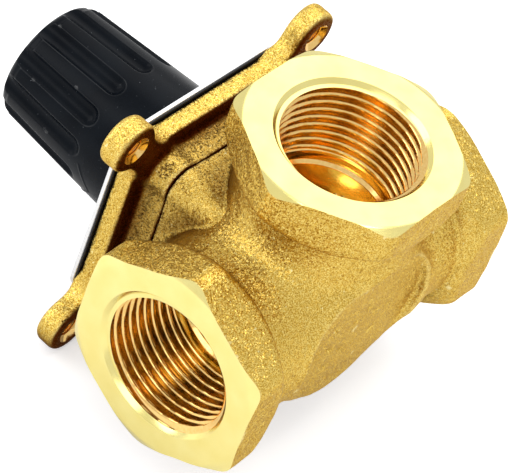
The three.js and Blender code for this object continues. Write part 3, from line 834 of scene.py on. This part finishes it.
def make_ptfe():
    s = Shader("ptfe_white")
    cloud = s.noise(s.place(), 500, 2)
    colour = s.ramp(cloud, [(0.3, (0.80, 0.80, 0.77)), (0.7, (0.88, 0.88, 0.86))])
    return s.finish(colour, 0.5, 0.0, s.bump(cloud, 0.2, 0.00003), Subsurface_Weight=0.1)


def make_floor():
    """A pale sweep that stays white to the camera and gives the valve less light than it shows."""
    s = Shader("studio_floor")
    tone = s.noise(s.place(), 3, 2)
    colour = s.ramp(tone, [(0.2, (0.90, 0.90, 0.90)), (0.8, (0.92, 0.92, 0.92))])
    seen = s.node("LightPath").outputs["Is Camera Ray"]
    glow = s.math("MULTIPLY", seen, FLOOR_GLOW)
    return s.finish(colour, 0.6, 0.0, Emission_Color=(1, 1, 1, 1), Emission_Strength=glow)


forged_brass = make_forged_brass("forged_brass_blasted")
# The bonnet's copy also paints shade under its plate
flange_brass = make_forged_brass("forged_brass_flange", painted_underside_shade=True)
turned_brass = make_turned_brass()
bored_brass = make_bored_brass()
CASTING_FINISHES = (forged_brass, turned_brass, bored_brass)
TURNED, BORED = 1, 2
steel = make_steel()
scale_metal = make_scale_metal()
hub_plastic = make_moulded_plastic("hub_nylon", (0.022, 0.024, 0.028), 0.4)
rubber = make_moulded_plastic("seal_rubber", (0.012, 0.012, 0.012), 0.62)
black_sheet = make_moulded_plastic("black_sheet", (0.006, 0.006, 0.007), 0.5)
pointer_paint = make_moulded_plastic("pointer_paint", (0.80, 0.80, 0.77), 0.4)
ptfe = make_ptfe()


# ---------------------------------------------------------------- knob

SPINDLE_REST = math.radians(-24)
KNOB_BASE_RADIUS = 17.4
KNOB_TOP_RADIUS = 14.8
FLUTES = 12
FLUTE_RADIUS = 3.0
FLUTE_DEPTH = 1.4
FLUTE_EDGE = 0.2
FLUTE_END = 53.2

# The raised pointer mark near the knob's foot: a chevron whose tip is on the spindle's pointer
MARK_TIP = 45.6
MARK_RUN = (6.0, 3.9)
MARK_PROUD = 0.16
MARK_HALF_WIDTH = 0.22

# The knob's wall, its web over the hub, and the well for the screw and cap
KNOB_RIM = 2.6
KNOB_WALL = 2.6
WEB_UNDERSIDE = 66.4
TOP_FLAT_RADIUS = 11.0
WELL_RADIUS, WELL_FLOOR = 8.3, 73.5
KNOB_SCREW_RECESS, KNOB_SCREW_SEAT = 5, 70
KNOB_SCREW_HOLE = 2.2

knob_plastic = make_knob_plastic()


def knob_taper(z):
    share = (z - KNOB_BASE) / (KNOB_TOP - KNOB_BASE)
    return KNOB_BASE_RADIUS + share * (KNOB_TOP_RADIUS - KNOB_BASE_RADIUS)


def fluted(angle, radius, height):
    """Sinks the flutes and raises the pointer mark on the outer rows of the knob."""
    pitch = 2 * math.pi / FLUTES
    turn = angle - SPINDLE_REST
    off = (turn + pitch / 2) % pitch - pitch / 2
    centre = knob_taper(height) + FLUTE_RADIUS - FLUTE_DEPTH
    below = np.maximum(FLUTE_END - height, 0)
    sweep = FLUTE_RADIUS ** 2 - below ** 2 - (centre * np.sin(off)) ** 2
    wall = centre * np.cos(off) - np.sqrt(np.maximum(sweep, 0))
    cut = blend_join(radius, wall, FLUTE_EDGE)
    side = (turn + math.pi) % (2 * math.pi) - math.pi
    arc = np.abs(side) * radius
    across, up = MARK_RUN
    share = np.clip((arc * across + (height - MARK_TIP) * up) / (across ** 2 + up ** 2), 0, 1)
    gap = length(arc - share * across, height - MARK_TIP - share * up)
    mark = MARK_PROUD * np.exp(-(gap / MARK_HALF_WIDTH) ** 2)
    skirt = (radius > TOP_FLAT_RADIUS) & (height > KNOB_BASE + 0.5)
    return np.where(skirt, cut + mark, radius)


def build_knob():
    """The grip: a hollow shell with a well in its top for the screw and cap."""
    outer = [(KNOB_BASE_RADIUS - 0.5, KNOB_BASE), (KNOB_BASE_RADIUS - 0.15, KNOB_BASE + 0.12),
             (KNOB_BASE_RADIUS, KNOB_BASE + 0.5)]
    outer += [(knob_taper(z), z) for z in np.arange(KNOB_BASE + 0.8, KNOB_TOP - KNOB_RIM, 0.3)]
    for turn in np.linspace(0, math.pi / 2, 9):
        across, up = KNOB_RIM * math.cos(turn), KNOB_RIM * math.sin(turn)
        outer.append((KNOB_TOP_RADIUS - KNOB_RIM + across, KNOB_TOP - KNOB_RIM + up))
    well = rounded([
        (TOP_FLAT_RADIUS, KNOB_TOP), (WELL_RADIUS, KNOB_TOP), (WELL_RADIUS, WELL_FLOOR),
        (KNOB_SCREW_RECESS, WELL_FLOOR), (KNOB_SCREW_RECESS, KNOB_SCREW_SEAT),
        (KNOB_SCREW_HOLE, KNOB_SCREW_SEAT), (KNOB_SCREW_HOLE, WEB_UNDERSIDE),
        (knob_taper(WEB_UNDERSIDE) - KNOB_WALL, WEB_UNDERSIDE), (KNOB_BASE_RADIUS - KNOB_WALL, KNOB_BASE),
    ], 0.3, 4)
    points, faces = spun(outer + well, 480, True, fluted)
    knob = new_mesh("knob_grip_moulding", points, faces)
    shade_smooth(knob, 50)
    knob.data.materials.append(knob_plastic)
    stand_for(knob, "spindle", "knob_grip")


def build_cap():
    """The cap over the knob's screw, with a painted pointer bar."""
    top = CAP_HIGH[2]
    bottom, rim, dish = CAP_LOW[2], top - 0.2, top - 0.5
    rows = rounded([(0.5, bottom), (8, bottom), (8, rim), (6.9, rim), (6.6, dish), (1, dish)], 0.25)
    rows = [(0, bottom)] + rows + [(0, dish)]
    cap = new_mesh("knob_cap_moulding", *spun(rows, 128))
    bar = bar_mesh("pointer_bar", (-5.0, -0.6), (6.9, 0.6), top - 0.7, top, SPINDLE_REST)
    for part in (cap, bar):
        for material in (hub_plastic, pointer_paint):
            part.data.materials.append(material)
    bar.data.polygons.foreach_set("material_index", [1] * len(bar.data.polygons))
    cut_mesh(cap, bar, "UNION")
    shade_smooth(cap, 35)
    stand_for(cap, "spindle", "knob_cap")


def bar_mesh(name, low, high, bottom, top, turn):
    """A straight bar with softened top edges, turned about the stem."""
    edge = 0.15
    loops = [(0, bottom), (0, top - edge), (edge, top)]
    points = []
    for inset, z in loops:
        for x, y in ((low[0] + inset, low[1] + inset), (high[0] - inset, low[1] + inset),
                     (high[0] - inset, high[1] - inset), (low[0] + inset, high[1] - inset)):
            points.append((*about_stem(x, y, turn), z))
    faces = [(3, 2, 1, 0), (8, 9, 10, 11)]
    for ring in range(2):
        for k in range(4):
            a, b = 4 * ring + k, 4 * ring + (k + 1) % 4
            faces.append((a, b, b + 4, a + 4))
    return new_mesh(name, points, faces, smooth=False)


# ---------------------------------------------------------------- plates and dial

SHEET_CORNER = 6
SHEET_HOLE_RADIUS = 9.5
SHEET_BEVEL = 0.12

DIAL_TRAVEL = math.radians(90)
DIAL_NUMBERS = 10
NUMBER_SIZE = 2.5
NUMBER_RADIUS = 22.4
PRINT_THICKNESS = 0.03
TICK_START = 18.4
LONG_TICK = {"end": 20.6, "half_width": 0.22}
SHORT_TICK = {"end": 19.8, "half_width": 0.13}


def sheet(name, half, bottom, top, material):
    """A flat sheet with rounded corners, a bevelled edge and a round hole."""
    bevel = min(SHEET_BEVEL, (top - bottom) / 4)
    inner = half - SHEET_CORNER
    steps = 12
    outline = []
    for quarter, (sx, sy) in enumerate(((1, 1), (-1, 1), (-1, -1), (1, -1))):
        for turn in np.linspace(quarter * math.pi / 2, (quarter + 1) * math.pi / 2, steps):
            outline.append((inner * sx, inner * sy, math.cos(turn), math.sin(turn)))
    outline = np.array(outline)
    rings = []
    for inset, z in ((bevel, bottom), (0, bottom + bevel), (0, top - bevel), (bevel, top)):
        edge = outline[:, :2] + outline[:, 2:] * (SHEET_CORNER - inset)
        rings.append(np.column_stack([edge, np.full(len(edge), z)]))
    turn = np.arctan2(rings[0][:, 1], rings[0][:, 0])
    for z in (top, bottom):
        hole = SHEET_HOLE_RADIUS * np.cos(turn), SHEET_HOLE_RADIUS * np.sin(turn)
        rings.append(np.column_stack([*hole, np.full(len(turn), z)]))
    count = len(outline)
    faces = []
    for ring in range(len(rings)):
        here, there = ring * count, (ring + 1) % len(rings) * count
        for k in range(count):
            after = (k + 1) % count
            faces.append((here + k, here + after, there + after, there + k))
    obj = new_mesh(name, np.vstack(rings), faces, smooth=False)
    obj.data.materials.append(material)
    return obj


def build_sheets():
    # A thin black sheet under the scale plate, drawn for the thin black line between the plate and the flange
    backing = sheet("backing_sheet_black", SHEET_HIGH[0], SHEET_LOW[2], SHEET_HIGH[2], black_sheet)
    stand_for(backing, "housing", "backing_sheet")
    plate = sheet("scale_plate_sheet", SCALE_HIGH[0], SCALE_LOW[2], SCALE_HIGH[2], scale_metal)
    stand_for(plate, "housing", "scale_plate")


def print_on_housing(piece):
    piece.data.materials.append(black_sheet)
    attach(piece, "housing")


def build_tick(name, turn, end, half_width):
    """One raised tick that points away from the stem."""
    face = SCALE_HIGH[2]
    points = []
    for z in (face, face + PRINT_THICKNESS):
        for x, side in ((TICK_START, -1), (end, -1), (end, 1), (TICK_START, 1)):
            points.append((*about_stem(x, side * half_width, turn), z))
    sides = [(k, (k + 1) % 4, (k + 1) % 4 + 4, k + 4) for k in range(4)]
    print_on_housing(new_mesh(name, points, [(3, 2, 1, 0), (4, 5, 6, 7)] + sides, smooth=False))


def build_number(name, turn, text):
    """One upright number outside the ticks."""
    curve = bpy.data.curves.new(name, "FONT")
    curve.body = text
    curve.size = NUMBER_SIZE * MM
    curve.align_x = "CENTER"
    curve.align_y = "CENTER"
    curve.extrude = PRINT_THICKNESS / 2 * MM
    number = bpy.data.objects.new(name, curve)
    bpy.context.scene.collection.objects.link(number)
    place = (*about_stem(NUMBER_RADIUS, 0, turn), SCALE_HIGH[2] + PRINT_THICKNESS / 2)
    upright = Matrix.Rotation(math.pi / 2, 4, "X")
    number.matrix_world = Matrix.Translation(Vector(bench_to_row([place])[0])) @ upright
    print_on_housing(number)


def build_dial():
    """Generic ticks and numbers 0 to 10 over the knob's travel, printed on the scale plate."""
    for k in range(2 * DIAL_NUMBERS + 1):
        turn = -DIAL_TRAVEL / 2 + DIAL_TRAVEL * k / (2 * DIAL_NUMBERS)
        build_tick(f"dial_tick_{k:02d}", turn, **(SHORT_TICK if k % 2 else LONG_TICK))
    for k in range(DIAL_NUMBERS + 1):
        turn = -DIAL_TRAVEL / 2 + DIAL_TRAVEL * k / DIAL_NUMBERS
        build_number(f"dial_number_{k:02d}", turn, str(k))


# ---------------------------------------------------------------- rotor

ROTOR_PIVOT_RADIUS = 3.9
ROTOR_FLOOR = CHAMBER_FLOOR + 1.6
ROTOR_DISC = 1.5
ROTOR_HUB_RADIUS = 8
ROTOR_HUB_LOW = 8.4
ROTOR_HEAD = 3
ROTOR_SOCKET_FLOOR = 10.1
SHUTTER_THICKNESS = 4
SHUTTER_CENTRE = math.radians(135) + SPINDLE_REST
SHUTTER_HALF = math.radians(52)


def build_rotor():
    """The lower disc with its pivot, a curved shutter, and the hub that takes the stem."""
    low, high = ROTOR_LOW[2], ROTOR_HIGH[2]
    top = ROTOR_FLOOR + ROTOR_DISC
    rows = rounded([(0.5, low), (ROTOR_PIVOT_RADIUS, low), (ROTOR_PIVOT_RADIUS, ROTOR_FLOOR),
                    (ROTOR_RADIUS, ROTOR_FLOOR), (ROTOR_RADIUS, top), (0.5, top)], 0.2, 4)
    rotor = new_mesh("rotor_turned", *spun([(0, low)] + rows + [(0, top)], 160))
    head = high - ROTOR_HEAD
    rows = rounded([(0.5, ROTOR_HUB_LOW), (ROTOR_HUB_RADIUS, ROTOR_HUB_LOW), (ROTOR_HUB_RADIUS, head),
                    (ROTOR_RADIUS, head), (ROTOR_RADIUS, high), (0.5, high)], 0.4, 4)
    hub = new_mesh("hub", *spun([(0, ROTOR_HUB_LOW)] + rows + [(0, high)], 160))
    shutter = sector("shutter", ROTOR_RADIUS - SHUTTER_THICKNESS, ROTOR_RADIUS - 0.1,
                     ROTOR_FLOOR + 0.7, high - 1, SHUTTER_CENTRE, SHUTTER_HALF)
    for part in (shutter, hub):
        cut_mesh(rotor, part, "UNION")
    cut_mesh(rotor, new_mesh("socket", *spun(plain_hole(STEM_BORE, ROTOR_SOCKET_FLOOR, high + 1), 64)))
    shade_smooth(rotor, 30)
    rotor.data.materials.clear()
    rotor.data.materials.append(turned_brass)
    stand_for(rotor, "spindle", "rotor")


def sector(name, inner, outer, bottom, top, centre, half):
    """A curved wall: part of a ring about the stem."""
    turns = np.linspace(centre - half, centre + half, 72)
    loop = []
    for r, z in ((inner, bottom), (outer, bottom), (outer, top), (inner, top)):
        loop.append(np.column_stack([r * np.cos(turns), r * np.sin(turns), np.full(len(turns), z)]))
    points = np.vstack(loop)
    count = len(turns)
    faces = []
    for side in range(4):
        here, there = side * count, (side + 1) % 4 * count
        for k in range(count - 1):
            faces.append((here + k, here + k + 1, there + k + 1, there + k))
    faces.append(tuple(side * count for side in range(4)))
    faces.append(tuple(side * count + count - 1 for side in (3, 2, 1, 0)))
    return new_mesh(name, points, faces, smooth=False)


# ---------------------------------------------------------------- CAD nodes that stay

CARRIED = {
    "bonnet_o_ring": rubber, "stem_o_ring_lower": rubber, "stem_o_ring_upper": rubber,
    "bonnet_screw_1": steel, "bonnet_screw_2": steel, "bonnet_screw_3": steel, "bonnet_screw_4": steel,
    "stop_pin": steel, "drive_pin": steel, "circlip": steel, "knob_screw": steel,
    "stem_bush": ptfe, "thrust_washer": ptfe, "foot_washer": ptfe,
    "stem": turned_brass, "knob_adapter": hub_plastic,
}


def dress_carried_nodes():
    for name, material in CARRIED.items():
        mesh = frame["nodes"][name].data
        mesh.materials.clear()
        mesh.materials.append(material)


# ---------------------------------------------------------------- studio

WORLD_BRIGHTNESS = 0.8
FLOOR_GLOW = 0.45
FLOOR_HALF = 3.0
FLOOR_GAP = 0.0003

# Softboxes: name, direction from the valve, distance and side in metres, brightness
SOFTBOXES = (
    ("softbox_back", (-0.63, -0.30, 0.72), 1.2, 1.0, 1.1),
    ("softbox_left", (0.45, -0.75, 0.50), 1.1, 0.7, 2.2),
    ("softbox_right", (0.85, 0.10, 0.55), 1.1, 0.6, 1.6),
    ("softbox_top", (-0.15, 0.05, 0.98), 1.3, 0.5, 4.0),
)


def build_studio():
    ground = CAD_BOX[0][2] - FLOOR_GAP
    mesh = bpy.data.meshes.new("studio_floor")
    corners = [(x * FLOOR_HALF, y * FLOOR_HALF, ground) for x, y in ((-1, -1), (1, -1), (1, 1), (-1, 1))]
    mesh.from_pydata(corners, [], [(0, 1, 2, 3)])
    floor = bpy.data.objects.new("studio_floor", mesh)
    bpy.context.scene.collection.objects.link(floor)
    mesh.materials.append(make_floor())

    world = bpy.data.worlds.new("studio")
    bpy.context.scene.world = world
    world.use_nodes = True
    nodes = world.node_tree.nodes
    seen = nodes.new("ShaderNodeLightPath").outputs["Is Camera Ray"]
    strength = nodes.new("ShaderNodeMapRange")
    world.node_tree.links.new(seen, strength.inputs["Value"])
    strength.inputs["To Min"].default_value = WORLD_BRIGHTNESS
    strength.inputs["To Max"].default_value = 1.0
    nodes["Background"].inputs["Color"].default_value = (1, 1, 1, 1)
    world.node_tree.links.new(strength.outputs["Result"], nodes["Background"].inputs["Strength"])

    for name, direction, distance, side, brightness in SOFTBOXES:
        lamp = bpy.data.lights.new(name, "AREA")
        lamp.size = side
        lamp.energy = brightness * math.pi * side * side
        obj = bpy.data.objects.new(name, lamp)
        bpy.context.scene.collection.objects.link(obj)
        away = Vector(direction).normalized()
        obj.location = AXIS_POINT + away * distance
        obj.rotation_euler = (-away).to_track_quat("-Z", "Y").to_euler()


# The camera looks from the right, above, and a little behind the foot
CAMERA_AZIMUTH = math.radians(25.068)
CAMERA_ELEVATION = math.radians(45.664)
CAMERA_ROLL = math.radians(22.632)
CAMERA_DISTANCE = 0.696
CAMERA_LENS = 231.3
AIM_FROM_AXES = Vector((2.2, -11.2, 2.7)) * MM


def build_camera():
    """A long lens at the photograph's viewing angle, rolled because the valve lies tipped there."""
    data = bpy.data.cameras.new("camera")
    data.sensor_width = 36
    data.lens = CAMERA_LENS
    data.clip_start = 0.01
    data.clip_end = 20
    camera = bpy.data.objects.new("camera", data)
    bpy.context.scene.collection.objects.link(camera)
    back = Vector((math.cos(CAMERA_AZIMUTH), math.sin(CAMERA_AZIMUTH), math.tan(CAMERA_ELEVATION)))
    back.normalize()
    upright = back.to_track_quat("Z", "Y").to_matrix().to_4x4()
    place = AXIS_POINT + AIM_FROM_AXES + back * CAMERA_DISTANCE
    camera.matrix_world = Matrix.Translation(place) @ upright @ Matrix.Rotation(CAMERA_ROLL, 4, "Z")
    bpy.context.scene.camera = camera
    bpy.context.scene.view_settings.view_transform = "Standard"


build_body()
build_bonnet()
build_knob()
build_cap()
build_sheets()
build_dial()
build_rotor()
dress_carried_nodes()
build_studio()
build_camera()
